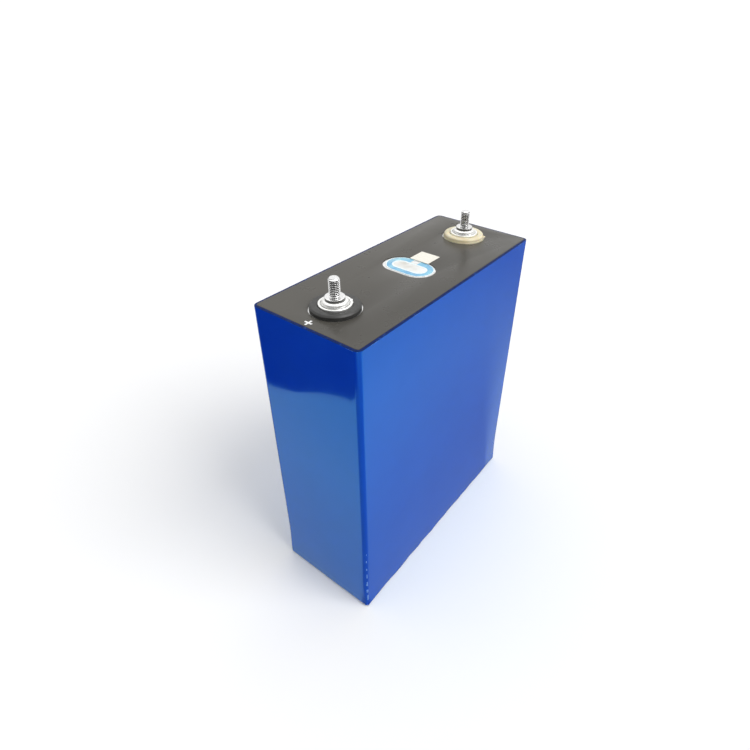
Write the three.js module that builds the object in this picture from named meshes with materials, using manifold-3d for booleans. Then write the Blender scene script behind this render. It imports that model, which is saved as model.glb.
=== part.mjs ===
// Prismatic lithium iron phosphate battery cell with welded M6 terminal studs.
// Units are millimetres, +Z up. The origin is the centre of the underside.
// X runs along the long side, from the positive terminal (-X) to the negative one (+X);
// Y runs through the thickness of the cell.
import * as THREE from 'three';
import { mergeVertices } from 'three/addons/utils/BufferGeometryUtils.js';
import Module from 'manifold-3d';

const wasm = await Module();
wasm.setup();

// ---------------------------------------------------------------- driving dimensions
// Outside of the cell
const CELL_LENGTH = 173.7;      // X, over the blue film
const CELL_THICKNESS = 71.7;    // Y, over the blue film
const BODY_HEIGHT = 204.6;      // Z, underside to the top of the cover sheet
const CORNER_R = 3.2;           // upright corners of the film

// Skins and can
const PAD_T = 0.5;              // insulating pad under the cell
const FILM_T = 0.2;             // blue polyester film
const CAN_WALL = 0.6;           // drawn aluminium can, side walls
const CAN_FLOOR = 1.2;          // drawn aluminium can, floor
const LID_T = 3.0;              // aluminium lid plate
const SHEET_T = 0.3;            // dark cover sheet on the lid
const SHEET_INSET = 1.5;        // edge of the cover sheet from the outside of the cell
const LIP_INSET = 1.3;          // edge of the film where it turns in over the lid
const SKIN_GAP = 0.05;          // between neighbouring skins

// Terminals, measured from the terminal axis and from the top of the cover sheet
const TERMINAL_X = 62.8;        // each terminal axis from the middle of the cell
const SHEET_HOLE_R = 14.05;      // hole in the cover sheet round an insulator
const RING_R = 13.45;           // plastic insulator, outside
const RING_H = 2.6;             // plastic insulator, above the cover sheet
const DISC_R = 8.9;             // flat terminal disc
const DISC_H = 3.3;
const BASE_R = 7.1;             // welded base that carries the stud
const BASE_H = 5.3;
const FLANGE_R = 5.3;           // stud flange, the seat for a busbar
const FLANGE_H = 6.8;
const STUD_R = 3.0;             // M6 thread, crest radius
const STUD_ROOT_R = 2.45;
const STUD_PITCH = 1.0;
const STUD_H = 17.2;            // tip of the stud
const POST_R = 3.95;            // rivet post through the lid
const POST_FLANGE_R = 8.4;

// Pressure relief vent, fill hole and label
const VENT_CUT = { x: 0.8, y: 0, length: 34.0, width: 21.2 };    // opening in the cover sheet
const VENT_FILM = { x: 1.6, y: 0, length: 31.2, width: 19.6 };   // film over the vent
const VENT_SEAT = { x: 0.8, y: 0, length: 26.6, width: 13.6 };   // counterbore for the burst disc
const VENT_THROAT = { x: 0.8, y: 0, length: 23.6, width: 10.6 };
const FILL_X = 34.0;
const FILL_R = 2.0;
const FILL_CAP_R = 4.5;
const LABEL = { x0: 10.9, x1: 23.8, y0: -6.8, y1: 6.7 };
const PLUS = { x: -82.0, y: 0.2, arm: 4.6, stroke: 1.1 };

// Inside
const ROLL_LENGTH = 170.0;      // wound electrode stack, X
const ROLL_THICKNESS = 34.0;    // Y
const ROLL_Z0 = 3.8;
const ROLL_Z1 = 190.2;
const ROLL_Y = 17.2;            // axis of each roll
const BAG_T = 0.2;
const TAB_X0 = 16.0;            // foil tabs, distance from the middle of the cell
const TAB_X1 = 50.0;

// ---------------------------------------------------------------- derived levels
const FILM_Z0 = PAD_T + SKIN_GAP;
const CAN_Z0 = FILM_Z0 + FILM_T + SKIN_GAP;
const SHEET_Z0 = BODY_HEIGHT - SHEET_T;
const LID_Z1 = SHEET_Z0 - 0.15;
const LID_Z0 = LID_Z1 - LID_T;
const CAN_L = CELL_LENGTH - 2 * (FILM_T + SKIN_GAP);
const CAN_D = CELL_THICKNESS - 2 * (FILM_T + SKIN_GAP);
const CAN_IN_L = CAN_L - 2 * CAN_WALL;
const CAN_IN_D = CAN_D - 2 * CAN_WALL;
const CAN_R = CORNER_R - FILM_T - SKIN_GAP;
const CAN_IN_R = CAN_R - CAN_WALL;

// ---------------------------------------------------------------- shape helpers
function signedVolume(g) {
  const p = g.getAttribute('position');
  const idx = g.index;
  const n = idx ? idx.count : p.count;
  const a = new THREE.Vector3(), b = new THREE.Vector3(), c = new THREE.Vector3();
  let v = 0;
  for (let i = 0; i < n; i += 3) {
    const [i0, i1, i2] = idx ? [idx.getX(i), idx.getX(i + 1), idx.getX(i + 2)] : [i, i + 1, i + 2];
    a.fromBufferAttribute(p, i0); b.fromBufferAttribute(p, i1); c.fromBufferAttribute(p, i2);
    v += a.dot(b.cross(c)) / 6;
  }
  return v;
}

// One closed body: shared vertices merged, slivers dropped, faces turned outwards.
function closed(geometry) {
  const g0 = geometry.clone();
  g0.deleteAttribute('normal');
  g0.deleteAttribute('uv');
  const g = mergeVertices(g0, 1e-4);
  const idx = g.index;
  const keep = [];
  for (let i = 0; i < idx.count; i += 3) {
    const a = idx.getX(i), b = idx.getX(i + 1), c = idx.getX(i + 2);
    if (a !== b && b !== c && a !== c) keep.push(a, b, c);
  }
  g.setIndex(keep);
  if (signedVolume(g) < 0) {
    for (let i = 0; i < keep.length; i += 3) [keep[i + 1], keep[i + 2]] = [keep[i + 2], keep[i + 1]];
    g.setIndex(keep);
  }
  g.computeVertexNormals();
  return g;
}

function solid(geometry) {
  const g = closed(geometry);
  return new wasm.Manifold(new wasm.Mesh({
    numProp: 3,
    vertProperties: new Float32Array(g.getAttribute('position').array),
    triVerts: new Uint32Array(g.index.array),
  }));
}

function geometryOf(manifold) {
  const m = manifold.getMesh();
  const g = new THREE.BufferGeometry();
  const v = new Float32Array(m.numVert * 3);
  for (let i = 0; i < m.numVert; i++) {
    for (let k = 0; k < 3; k++) v[3 * i + k] = m.vertProperties[m.numProp * i + k];
  }
  g.setAttribute('position', new THREE.BufferAttribute(v, 3));
  g.setIndex(Array.from(m.triVerts));
  g.computeVertexNormals();
  return g;
}

function roundRect(length, depth, r, cx = 0, cy = 0) {
  const x = length / 2, y = depth / 2;
  const s = new THREE.Shape();
  s.moveTo(cx - x + r, cy - y);
  s.lineTo(cx + x - r, cy - y);
  s.absarc(cx + x - r, cy - y + r, r, -Math.PI / 2, 0, false);
  s.lineTo(cx + x, cy + y - r);
  s.absarc(cx + x - r, cy + y - r, r, 0, Math.PI / 2, false);
  s.lineTo(cx - x + r, cy + y);
  s.absarc(cx - x + r, cy + y - r, r, Math.PI / 2, Math.PI, false);
  s.lineTo(cx - x, cy - y + r);
  s.absarc(cx - x + r, cy - y + r, r, Math.PI, Math.PI * 1.5, false);
  return s;
}

// Slot outline with its long axis along Y (or along X when wide is true).
function obround({ x, y, length, width }, wide = false) {
  const r = width / 2, h = length / 2 - r;
  const s = new THREE.Shape();
  if (wide) {
    s.absarc(x + h, y, r, -Math.PI / 2, Math.PI / 2, false);
    s.absarc(x - h, y, r, Math.PI / 2, Math.PI * 1.5, false);
  } else {
    s.absarc(x, y + h, r, 0, Math.PI, false);
    s.absarc(x, y - h, r, Math.PI, Math.PI * 2, false);
  }
  return s;
}

function disc(x, y, r) {
  const s = new THREE.Shape();
  s.absarc(x, y, r, 0, Math.PI, false);
  s.absarc(x, y, r, Math.PI, Math.PI * 2, false);
  return s;
}

function plate(shape, z0, z1, holes = [], segments = 6) {
  const s = shape.clone();
  for (const h of holes) s.holes.push(h);
  const g = new THREE.ExtrudeGeometry(s, { depth: z1 - z0, bevelEnabled: false, curveSegments: segments });
  g.translate(0, 0, z0);
  return g;
}

// Rounded-rectangle cup or sleeve from (inset, height) points. The first and last points are
// the middles of the underside and of the inner floor.
function lofted(length, depth, r, z0, ring, z1, segments = 7) {
  const pos = [], idx = [];
  const outline = (d) => {
    const out = [], cr = Math.max(r - d, 0.05), x = length / 2 - d - cr, y = depth / 2 - d - cr;
    [[x, -y, -90], [x, y, 0], [-x, y, 90], [-x, -y, 180]].forEach(([cx, cy, a0]) => {
      for (let i = 0; i <= segments; i++) {
        const a = THREE.MathUtils.degToRad(a0 + (90 * i) / segments);
        out.push([cx + cr * Math.cos(a), cy + cr * Math.sin(a)]);
      }
    });
    return out;
  };
  const n = 4 * (segments + 1);
  pos.push(0, 0, z0);
  for (const [d, z] of ring) for (const [x, y] of outline(d)) pos.push(x, y, z);
  const last = pos.length / 3;
  pos.push(0, 0, z1);
  for (let i = 0; i < n; i++) {
    const j = (i + 1) % n;
    idx.push(0, 1 + j, 1 + i);
    for (let k = 0; k + 1 < ring.length; k++) {
      const a = 1 + k * n + i, b = 1 + k * n + j, c = a + n, d = b + n;
      idx.push(a, b, d, a, d, c);
    }
    idx.push(last, last - n + i, last - n + j);
  }
  const g = new THREE.BufferGeometry();
  g.setAttribute('position', new THREE.Float32BufferAttribute(pos, 3));
  g.setIndex(idx);
  return g;
}

// Turned piece about Z from (radius, height) points, closed on the axis or on itself.
function turned(points, segments = 40) {
  const pts = points.map(([r, z]) => new THREE.Vector2(r, z));
  const onAxis = points[0][0] === 0 && points[points.length - 1][0] === 0;
  if (!onAxis) pts.push(pts[0].clone());
  const g = new THREE.LatheGeometry(pts, segments);
  g.rotateX(Math.PI / 2);
  return g;
}

function piece(name, geometry, color, roughness, metalness) {
  const m = new THREE.Mesh(
    closed(geometry),
    new THREE.MeshStandardMaterial({ color, roughness, metalness }),
  );
  m.name = name;
  return m;
}

const BLUE = 0x1246a6, ALU = 0xc9ccd0, DARK = 0x6e6a63, BLACK = 0x3a3a39, NATURAL = 0xe4d8b8;
const STEEL = 0xd7d9dc, COPPER = 0xb9714a, RUBBER = 0x242424, PP = 0xdedfda;

const cell = new THREE.Group();

// ---------------------------------------------------------------- outer skins and can
{
  cell.add(piece('bottom_pad', plate(roundRect(CELL_LENGTH - 2, CELL_THICKNESS - 2, CORNER_R - 1), 0, PAD_T), 0x2a2c30, 0.5, 0));

  // Film: a sleeve with its folded bottom, turned in over the edge of the lid at the top.
  const top = BODY_HEIGHT;
  cell.add(piece('blue_film_wrap', lofted(CELL_LENGTH, CELL_THICKNESS, CORNER_R, FILM_Z0, [
    [0.5, FILM_Z0], [0.12, FILM_Z0 + 0.14], [0, FILM_Z0 + 0.5],
    [0, top - 0.95], [0.12, top - 0.5], [0.4, top - 0.23], [0.8, top - 0.14], [LIP_INSET, top - 0.12],
    [LIP_INSET, top - 0.32], [0.7, top - 0.35], [0.33, top - 0.6], [FILM_T, top - 1.0],
    [FILM_T, FILM_Z0 + 0.5], [0.3, FILM_Z0 + 0.28], [0.6, FILM_Z0 + FILM_T],
  ], FILM_Z0 + FILM_T), BLUE, 0.12, 0));

  // Can: deep-drawn, open at the top where the lid plate is let in.
  const skin = FILM_T + SKIN_GAP, wall = skin + CAN_WALL;
  cell.add(piece('aluminium_can', lofted(CELL_LENGTH, CELL_THICKNESS, CORNER_R, CAN_Z0, [
    [0.75, CAN_Z0], [0.42, CAN_Z0 + 0.12], [skin, CAN_Z0 + 0.5],
    [skin, LID_Z1 - 0.7], [0.45, LID_Z1 - 0.25], [0.8, LID_Z1], [wall, LID_Z1],
    [wall, CAN_Z0 + CAN_FLOOR],
  ], CAN_Z0 + CAN_FLOOR), ALU, 0.35, 1));
}

// ---------------------------------------------------------------- lid
const lid = new THREE.Group();
cell.add(lid);
{
  const LID_GAP = 0.1;
  let body = solid(plate(
    roundRect(CAN_IN_L - 2 * LID_GAP, CAN_IN_D - 2 * LID_GAP, CAN_IN_R - LID_GAP), LID_Z0, LID_Z1,
    [disc(-TERMINAL_X, 0, 5.7), disc(TERMINAL_X, 0, 5.7), disc(FILL_X, 0, FILL_R), obround(VENT_THROAT)], 6));
  body = body.subtract(solid(plate(obround(VENT_SEAT), LID_Z1 - 0.8, LID_Z1 + 1, [], 8)));
  body = body.subtract(solid(plate(disc(FILL_X, 0, FILL_CAP_R + 0.15), LID_Z1 - 0.9, LID_Z1 + 1, [], 5)));
  lid.add(piece('lid_plate', geometryOf(body), ALU, 0.32, 1));

  // Burst disc: a rim in the counterbore round a thinned membrane.
  const seat = { ...VENT_SEAT, length: VENT_SEAT.length - 0.4, width: VENT_SEAT.width - 0.4 };
  const well = { ...VENT_SEAT, length: VENT_SEAT.length - 3.4, width: VENT_SEAT.width - 3.4 };
  const burst = solid(plate(obround(seat), LID_Z1 - 0.75, LID_Z1 - 0.3, [], 8))
    .subtract(solid(plate(obround(well), LID_Z1 - 0.5, LID_Z1 + 1, [], 8)));
  lid.add(piece('vent_burst_disc', geometryOf(burst), 0xd6d8da, 0.3, 1));

  lid.add(piece('fill_hole_plug', turned([
    [0, LID_Z0 + 0.3], [FILL_R - 0.25, LID_Z0 + 0.3], [FILL_R - 0.1, LID_Z0 + 0.8], [FILL_R - 0.1, LID_Z1 - 1.1], [0, LID_Z1 - 1.1],
  ], 16).translate(FILL_X, 0, 0), RUBBER, 0.8, 0));
  lid.add(piece('fill_hole_cap', turned([
    [0, LID_Z1 - 0.8], [FILL_CAP_R, LID_Z1 - 0.8], [FILL_CAP_R, LID_Z1 - 0.15], [FILL_CAP_R - 0.15, LID_Z1 - 0.05], [0, LID_Z1 - 0.05],
  ], 20).translate(FILL_X, 0, 0), ALU, 0.3, 1));

  // Cover sheet, with openings for both insulators and the vent.
  lid.add(piece('top_cover_sheet', plate(
    roundRect(CELL_LENGTH - 2 * SHEET_INSET, CELL_THICKNESS - 2 * SHEET_INSET, CORNER_R - SHEET_INSET), SHEET_Z0, BODY_HEIGHT,
    [disc(-TERMINAL_X, 0, SHEET_HOLE_R), disc(TERMINAL_X, 0, SHEET_HOLE_R), obround(VENT_CUT)], 9), DARK, 0.5, 0));

  lid.add(piece('vent_protective_film', plate(obround(VENT_FILM), LID_Z1 + 0.05, LID_Z1 + 0.2, [], 12), 0x86c4ea, 0.15, 0));
  lid.add(piece('data_label', plate(
    roundRect(LABEL.x1 - LABEL.x0, LABEL.y1 - LABEL.y0, 0.4, (LABEL.x0 + LABEL.x1) / 2, (LABEL.y0 + LABEL.y1) / 2),
    BODY_HEIGHT + 0.05, BODY_HEIGHT + 0.15, [], 3), 0xf2eee2, 0.5, 0));

  // Polarity mark: a printed cross beside the positive terminal.
  const a = PLUS.arm / 2, t = PLUS.stroke / 2;
  const plus = new THREE.Shape([
    [-t, -a], [t, -a], [t, -t], [a, -t], [a, t], [t, t], [t, a], [-t, a], [-t, t], [-a, t], [-a, -t], [-t, -t],
  ].map(([x, y]) => new THREE.Vector2(PLUS.x + x, PLUS.y + y)));
  lid.add(piece('polarity_mark_plus', plate(plus, BODY_HEIGHT + 0.05, BODY_HEIGHT + 0.13), 0xf4f4f2, 0.5, 0));
}

// ---------------------------------------------------------------- terminals
// Heights in these profiles count from the top of the cover sheet.
function terminal(sign, side) {
  const t = new THREE.Group();
  t.position.set(sign * TERMINAL_X, 0, BODY_HEIGHT);
  const black = sign < 0;
  const lidTop = LID_Z1 - BODY_HEIGHT, lidBottom = LID_Z0 - BODY_HEIGHT;

  const rim = black
    ? [[RING_R, lidTop + 0.05], [RING_R, 1.6], [RING_R - 0.25, 2.2], [RING_R - 0.85, RING_H], [9.2, RING_H]]
    : [[RING_R, lidTop + 0.05], [RING_R, 1.1], [RING_R - 0.35, 1.8], [RING_R - 1.2, 2.35], [RING_R - 2.4, RING_H], [9.2, RING_H]];
  t.add(piece(`${side}_terminal_insulator`, turned([[4.25, lidTop + 0.05], ...rim, [9.2, 0.8], [4.25, 0.8]], 36),
    black ? BLACK : NATURAL, black ? 0.45 : 0.4, 0));

  // Flat terminal disc, bored underneath for the head of the rivet post.
  t.add(piece(`${side}_terminal_disc`, turned([
    [0, 2.2], [4.1, 2.2], [4.1, 0.9], [DISC_R, 0.9], [DISC_R, DISC_H - 0.25], [DISC_R - 0.25, DISC_H],
    [7.7, DISC_H], [7.55, DISC_H - 0.2], [0, DISC_H - 0.2],
  ], 32), ALU, 0.25, 1));

  // Welded base under the stud.
  t.add(piece(`${side}_stud_base`, turned([
    [0, DISC_H - 0.1], [BASE_R, DISC_H - 0.1], [BASE_R, DISC_H + 0.45], [BASE_R - 0.25, 4.4], [BASE_R - 0.9, 5.0], [BASE_R - 1.6, BASE_H],
    [2.65, BASE_H], [2.65, DISC_H + 0.6], [0, DISC_H + 0.6],
  ], 32), ALU, 0.22, 1));

  // M6 stud: shank in the base, neck, flange, thread and chamfered tip.
  const stud = [
    [0, DISC_H + 0.7], [2.5, DISC_H + 0.7], [2.5, BASE_H + 0.1], [4.7, BASE_H + 0.1], [4.7, FLANGE_H - 0.7],
    [FLANGE_R, FLANGE_H - 0.7], [FLANGE_R, FLANGE_H - 0.12], [FLANGE_R - 0.12, FLANGE_H], [STUD_R + 0.1, FLANGE_H],
  ];
  let z = FLANGE_H + 0.6;
  while (z + STUD_PITCH < STUD_H - 0.5) {
    stud.push([STUD_ROOT_R, z], [STUD_R, z + STUD_PITCH / 2]);
    z += STUD_PITCH;
  }
  stud.push([STUD_ROOT_R, z], [STUD_R - 0.2, z + 0.3], [STUD_ROOT_R - 0.15, STUD_H], [0, STUD_H]);
  t.add(piece(`${side}_m6_stud`, turned(stud, 16), STEEL, 0.2, 1));

  // Rivet post through the lid, with its flange below.
  t.add(piece(`${side}_rivet_post`, turned([
    [0, lidBottom - 2.4], [POST_FLANGE_R, lidBottom - 2.4], [POST_FLANGE_R, lidBottom - 1.1],
    [POST_R, lidBottom - 1.1], [POST_R, 1.9], [POST_R - 0.2, 2.1], [0, 2.1],
  ], 24), black ? ALU : COPPER, 0.3, 1));

  // Rubber seal: a sleeve in the lid hole with a flange below it.
  t.add(piece(`${side}_sealing_ring`, turned([
    [4.05, lidBottom - 1.0], [8.2, lidBottom - 1.0], [8.2, lidBottom - 0.15], [5.5, lidBottom - 0.15], [5.5, lidTop], [4.05, lidTop],
  ], 24), RUBBER, 0.85, 0));
  return t;
}

cell.add(terminal(-1, 'positive'));
cell.add(terminal(1, 'negative'));

// ---------------------------------------------------------------- under the lid
function underLid(sign, side) {
  const g = new THREE.Group();
  const zTop = LID_Z0 - 0.1;
  const zBottom = LID_Z0 - 2.5;
  // Plastic plate that keeps the collector off the lid; slots let gas reach the vent.
  const length = 82.4, cx = sign * (85.6 - length / 2);
  const slots = [-9, -3, 3, 9].map((y) => obround({ x: sign * 9.5, y, length: 9.0, width: 2.4 }, true));
  if (sign > 0) slots.push(disc(FILL_X, 0, 3.0));
  g.add(piece(`${side}_lower_insulator`, plate(
    roundRect(length, CAN_IN_D - 0.8, 2.0, cx, 0), zBottom, zTop,
    [disc(sign * TERMINAL_X, 0, 8.7), ...slots], 5), PP, 0.6, 0));

  // Collector: a pad under the post and two arms over the foil tabs.
  const x = (v) => sign * v;
  const outline = [[80, -24], [80, 24], [14, 24], [14, 10], [46, 10], [46, -10], [14, -10], [14, -24]]
    .map(([a, b]) => new THREE.Vector2(x(a), b));
  const shape = new THREE.Shape(outline);
  const fuse = sign < 0
    ? [obround({ x: x(51.5), y: 15.5, length: 7, width: 2.2 }), obround({ x: x(51.5), y: -15.5, length: 7, width: 2.2 })]
    : [disc(x(72.5), 0, 1.6)];
  const cz1 = LID_Z0 - 2.6, cz0 = cz1 - (sign < 0 ? 1.2 : 0.8);
  g.add(piece(`${side}_current_collector`, plate(shape, cz0, cz1, fuse, 6), sign < 0 ? ALU : COPPER, 0.35, 1));

  // Foil tabs of each roll, gathered and folded under the arms.
  for (const [tag, s] of [['a', -1], ['b', 1]]) {
    const y0 = ROLL_Y, top = cz0 - 0.1, thick = 0.9;
    const prof = new THREE.Shape([
      [y0 - thick / 2, ROLL_Z1 + 0.1], [y0 + thick / 2, ROLL_Z1 + 0.1], [y0 + thick / 2, top], [10.6, top], [10.6, top - thick], [y0 - thick / 2, top - thick],
    ].map(([y, z]) => new THREE.Vector2(y, z)));
    const tab = new THREE.ExtrudeGeometry(prof, { depth: TAB_X1 - TAB_X0, bevelEnabled: false });
    // The profile lies in Y-Z; turn it so that it runs along X.
    tab.applyMatrix4(new THREE.Matrix4().set(
      0, 0, 1, TAB_X0,
      s, 0, 0, 0,
      0, 1, 0, 0,
      0, 0, 0, 1));
    if (sign < 0) tab.scale(-1, 1, 1);
    g.add(piece(`${side}_tab_${tag}`, tab, sign < 0 ? ALU : COPPER, 0.4, 1));
  }
  return g;
}
cell.add(underLid(-1, 'positive'));
cell.add(underLid(1, 'negative'));

// ---------------------------------------------------------------- wound core
const core = new THREE.Group();
cell.add(core);
{
  for (const [tag, s] of [['a', -1], ['b', 1]]) {
    const y = s * ROLL_Y;
    core.add(piece(`jelly_roll_${tag}`, plate(
      obround({ x: 0, y, length: ROLL_LENGTH, width: ROLL_THICKNESS }, true), ROLL_Z0, ROLL_Z1,
      [obround({ x: 0, y, length: 136, width: 1.2 }, true)], 8), 0x4a4d50, 0.6, 0.1));
    // Tape over the loose end of the last turn.
    const ty = s * (ROLL_Y + ROLL_THICKNESS / 2 + 0.05);
    const tape = new THREE.BoxGeometry(26, 0.1, 170, 1, 1, 1);
    tape.translate(s * 24, ty + s * 0.05, (ROLL_Z0 + ROLL_Z1) / 2);
    core.add(piece(`jelly_roll_tape_${tag}`, tape, 0x2f8f5b, 0.4, 0));
  }

  const bagZ0 = CAN_Z0 + CAN_FLOOR + 0.1, bagZ1 = 196.9;
  const bagL = CAN_IN_L - 0.4, bagD = CAN_IN_D - 0.4, bagR = CAN_IN_R - 0.2;
  const bag = solid(plate(roundRect(bagL, bagD, bagR), bagZ0, bagZ1))
    .subtract(solid(plate(roundRect(bagL - 2 * BAG_T, bagD - 2 * BAG_T, bagR - BAG_T), bagZ0 + BAG_T, bagZ1 + 5)));
  core.add(piece('inner_insulating_bag', geometryOf(bag), 0xcfd6d8, 0.3, 0));

  core.add(piece('inner_support_plate', plate(
    roundRect(bagL - 1.4, bagD - 1.4, 2.0), bagZ0 + BAG_T + 0.1, bagZ0 + BAG_T + 1.1,
    [-60, -20, 20, 60].map((px) => obround({ x: px, y: 0, length: 16, width: 4 }, true)), 4), PP, 0.6, 0));
}

export default cell;
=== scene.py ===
import math

import bpy
import bmesh
from mathutils import Matrix, Vector, noise


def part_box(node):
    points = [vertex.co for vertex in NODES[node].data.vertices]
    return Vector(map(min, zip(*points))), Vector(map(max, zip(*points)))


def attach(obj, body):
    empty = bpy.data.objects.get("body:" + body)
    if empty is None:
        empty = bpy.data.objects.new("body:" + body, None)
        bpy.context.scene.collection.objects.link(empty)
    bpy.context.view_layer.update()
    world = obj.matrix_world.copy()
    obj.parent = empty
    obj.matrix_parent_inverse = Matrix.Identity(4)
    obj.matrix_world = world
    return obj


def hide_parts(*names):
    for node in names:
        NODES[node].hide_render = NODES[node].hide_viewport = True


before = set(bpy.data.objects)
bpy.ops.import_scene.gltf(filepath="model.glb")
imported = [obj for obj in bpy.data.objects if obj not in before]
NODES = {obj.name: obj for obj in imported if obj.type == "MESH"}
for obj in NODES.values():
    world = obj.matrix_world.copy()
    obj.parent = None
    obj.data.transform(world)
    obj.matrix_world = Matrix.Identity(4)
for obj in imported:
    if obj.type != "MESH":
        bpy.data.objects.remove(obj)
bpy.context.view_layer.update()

MM = 0.001
TAU = 2 * math.pi


# ------------------------------------------------------------------ places, all from the CAD frame
def mid(node):
    lo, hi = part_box(node)
    return (lo + hi) / 2


FILM_LO, FILM_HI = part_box("blue_film_wrap")
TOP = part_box("top_cover_sheet")[1].z                # top of the cover sheet
SHEET_LO, SHEET_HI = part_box("top_cover_sheet")
LENGTH = (FILM_HI.x - FILM_LO.x) / MM
CORNER = 3.2                                        # upright corners of the film, mm
DEPTH = (FILM_HI.y - FILM_LO.y) / MM
POS = Vector((mid("positive_m6_stud").x, mid("positive_m6_stud").y, TOP))
NEG = Vector((mid("negative_m6_stud").x, mid("negative_m6_stud").y, TOP))
VENT = mid("vent_protective_film")


# ------------------------------------------------------------------ material helpers
class Mat:
    """A small builder round one Principled shader."""

    def __init__(self, name, **sockets):
        self.m = bpy.data.materials.new(name)
        self.m.use_nodes = True
        self.t = self.m.node_tree
        self.t.nodes.clear()
        self.out = self.t.nodes.new("ShaderNodeOutputMaterial")
        self.p = self.t.nodes.new("ShaderNodeBsdfPrincipled")
        self.t.links.new(self.p.outputs["BSDF"], self.out.inputs["Surface"])
        tc = self.t.nodes.new("ShaderNodeTexCoord")
        self.co = tc.outputs["Object"]
        for k, v in sockets.items():
            self.p.inputs[k.replace("_", " ")].default_value = v
        self.last_bump = None

    def node(self, kind, **props):
        n = self.t.nodes.new(kind)
        for k, v in props.items():
            setattr(n, k, v)
        return n

    def link(self, a, b):
        self.t.links.new(a, b)
        return b

    def coords(self, scale=(1, 1, 1), rotation=(0, 0, 0)):
        n = self.node("ShaderNodeMapping")
        n.inputs["Scale"].default_value = scale
        n.inputs["Rotation"].default_value = rotation
        self.link(self.co, n.inputs["Vector"])
        return n.outputs["Vector"]

    def noise(self, scale, detail=3.0, rough=0.55, stretch=(1, 1, 1), distortion=0.0):
        n = self.node("ShaderNodeTexNoise")
        n.inputs["Scale"].default_value = scale
        n.inputs["Detail"].default_value = detail
        n.inputs["Roughness"].default_value = rough
        n.inputs["Distortion"].default_value = distortion
        self.link(self.coords(stretch), n.inputs["Vector"])
        return n.outputs["Fac"]

    def rings(self, scale, distortion=0.3, kind="RINGS", direction="Z", profile="SIN"):
        n = self.node("ShaderNodeTexWave", wave_type=kind, wave_profile=profile)
        if kind == "RINGS":
            n.rings_direction = direction
        else:
            n.bands_direction = direction
        n.inputs["Scale"].default_value = scale
        n.inputs["Distortion"].default_value = distortion
        n.inputs["Detail"].default_value = 2.0
        self.link(self.co, n.inputs["Vector"])
        return n.outputs["Fac"]

    def cells(self, scale, stretch=(1, 1, 1), feature="F1"):
        n = self.node("ShaderNodeTexVoronoi", feature=feature)
        n.inputs["Scale"].default_value = scale
        self.link(self.coords(stretch), n.inputs["Vector"])
        return n.outputs["Distance"]

    def remap(self, value, a, b, lo=0.3, hi=0.7):
        n = self.node("ShaderNodeMapRange")
        n.inputs["From Min"].default_value = lo
        n.inputs["From Max"].default_value = hi
        n.inputs["To Min"].default_value = a
        n.inputs["To Max"].default_value = b
        self.link(value, n.inputs["Value"])
        return n.outputs["Result"]

    def ramp(self, value, stops):
        n = self.node("ShaderNodeValToRGB")
        e = n.color_ramp.elements
        while len(e) < len(stops):
            e.new(0.5)
        for k, (pos, c) in enumerate(stops):
            e[k].position = pos
            e[k].color = (*c, 1)
        self.link(value, n.inputs["Fac"])
        return n.outputs["Color"]

    def mix(self, fac, a, b, mode="MIX"):
        n = self.node("ShaderNodeMix", data_type="RGBA", blend_type=mode)
        for sock, v in ((n.inputs[0], fac), (n.inputs[6], a), (n.inputs[7], b)):
            if hasattr(v, "is_output"):
                self.link(v, sock)
            elif isinstance(v, (int, float)):
                sock.default_value = v
            else:
                sock.default_value = (*v, 1)
        return n.outputs[2]

    def math(self, op, a, b=None):
        n = self.node("ShaderNodeMath", operation=op)
        for i, v in enumerate((a, b)):
            if v is None:
                continue
            if isinstance(v, (int, float)):
                n.inputs[i].default_value = v
            else:
                self.link(v, n.inputs[i])
        return n.outputs[0]

    def axis(self, which):
        n = self.node("ShaderNodeSeparateXYZ")
        self.link(self.co, n.inputs[0])
        return n.outputs[which]

    def colour(self, value):
        self.link(value, self.p.inputs["Base Color"])
        return self

    def rough(self, value):
        self.link(value, self.p.inputs["Roughness"])
        return self

    def bump(self, height, distance, strength=1.0):
        """distance in millimetres for a height of 0 to 1; bumps are stacked."""
        n = self.node("ShaderNodeBump")
        n.inputs["Strength"].default_value = strength
        n.inputs["Distance"].default_value = distance * MM
        self.link(height, n.inputs["Height"])
        if self.last_bump is not None:
            self.link(self.last_bump, n.inputs["Normal"])
        self.last_bump = n.outputs["Normal"]
        self.link(self.last_bump, self.p.inputs["Normal"])
        return self


def two(m, scale, a, b, **kw):
    """Colour drifting between a and b on a noise of the given scale (per metre)."""
    return m.ramp(m.noise(scale, **kw), [(0.3, a), (0.7, b)])


MATS = {}

# Blue polyester film over bright aluminium: a clear gloss skin on a deep blue that glints blue.
m = Mat("blue_film", IOR=2.6, Coat_Weight=0.42, Coat_Roughness=0.03, Coat_IOR=1.45)
m.p.inputs["Specular Tint"].default_value = (0.03, 0.74, 1.0, 1)
m.colour(two(m, 22, (0.0030, 0.044, 0.500), (0.0045, 0.053, 0.540), detail=4))
m.rough(m.remap(m.noise(60, detail=5), 0.05, 0.11))
m.bump(m.noise(9, detail=1.5), 0.25, 0.5)
m.bump(m.noise(420, detail=2), 0.003, 0.5)
MATS["blue_film"] = m.m

# Where the film turns in over the lid it is doubled, shrunk and duller; its colour is also darkened to a deep navy as
# painted shade.
m = Mat("film_fold_shaded", IOR=1.45, Specular_IOR_Level=0.12)
m.p.inputs["Specular Tint"].default_value = (0.35, 0.6, 1.0, 1)
m.colour(m.ramp(m.noise(240, detail=4), [(0.3, (0.003, 0.011, 0.075)), (0.60, (0.004, 0.018, 0.120)), (0.78, (0.02, 0.09, 0.36))]))
m.rough(m.remap(m.noise(300, detail=4), 0.30, 0.50))
m.bump(m.noise(700, detail=3), 0.05, 0.5)
MATS["film_fold_shaded"] = m.m
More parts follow.
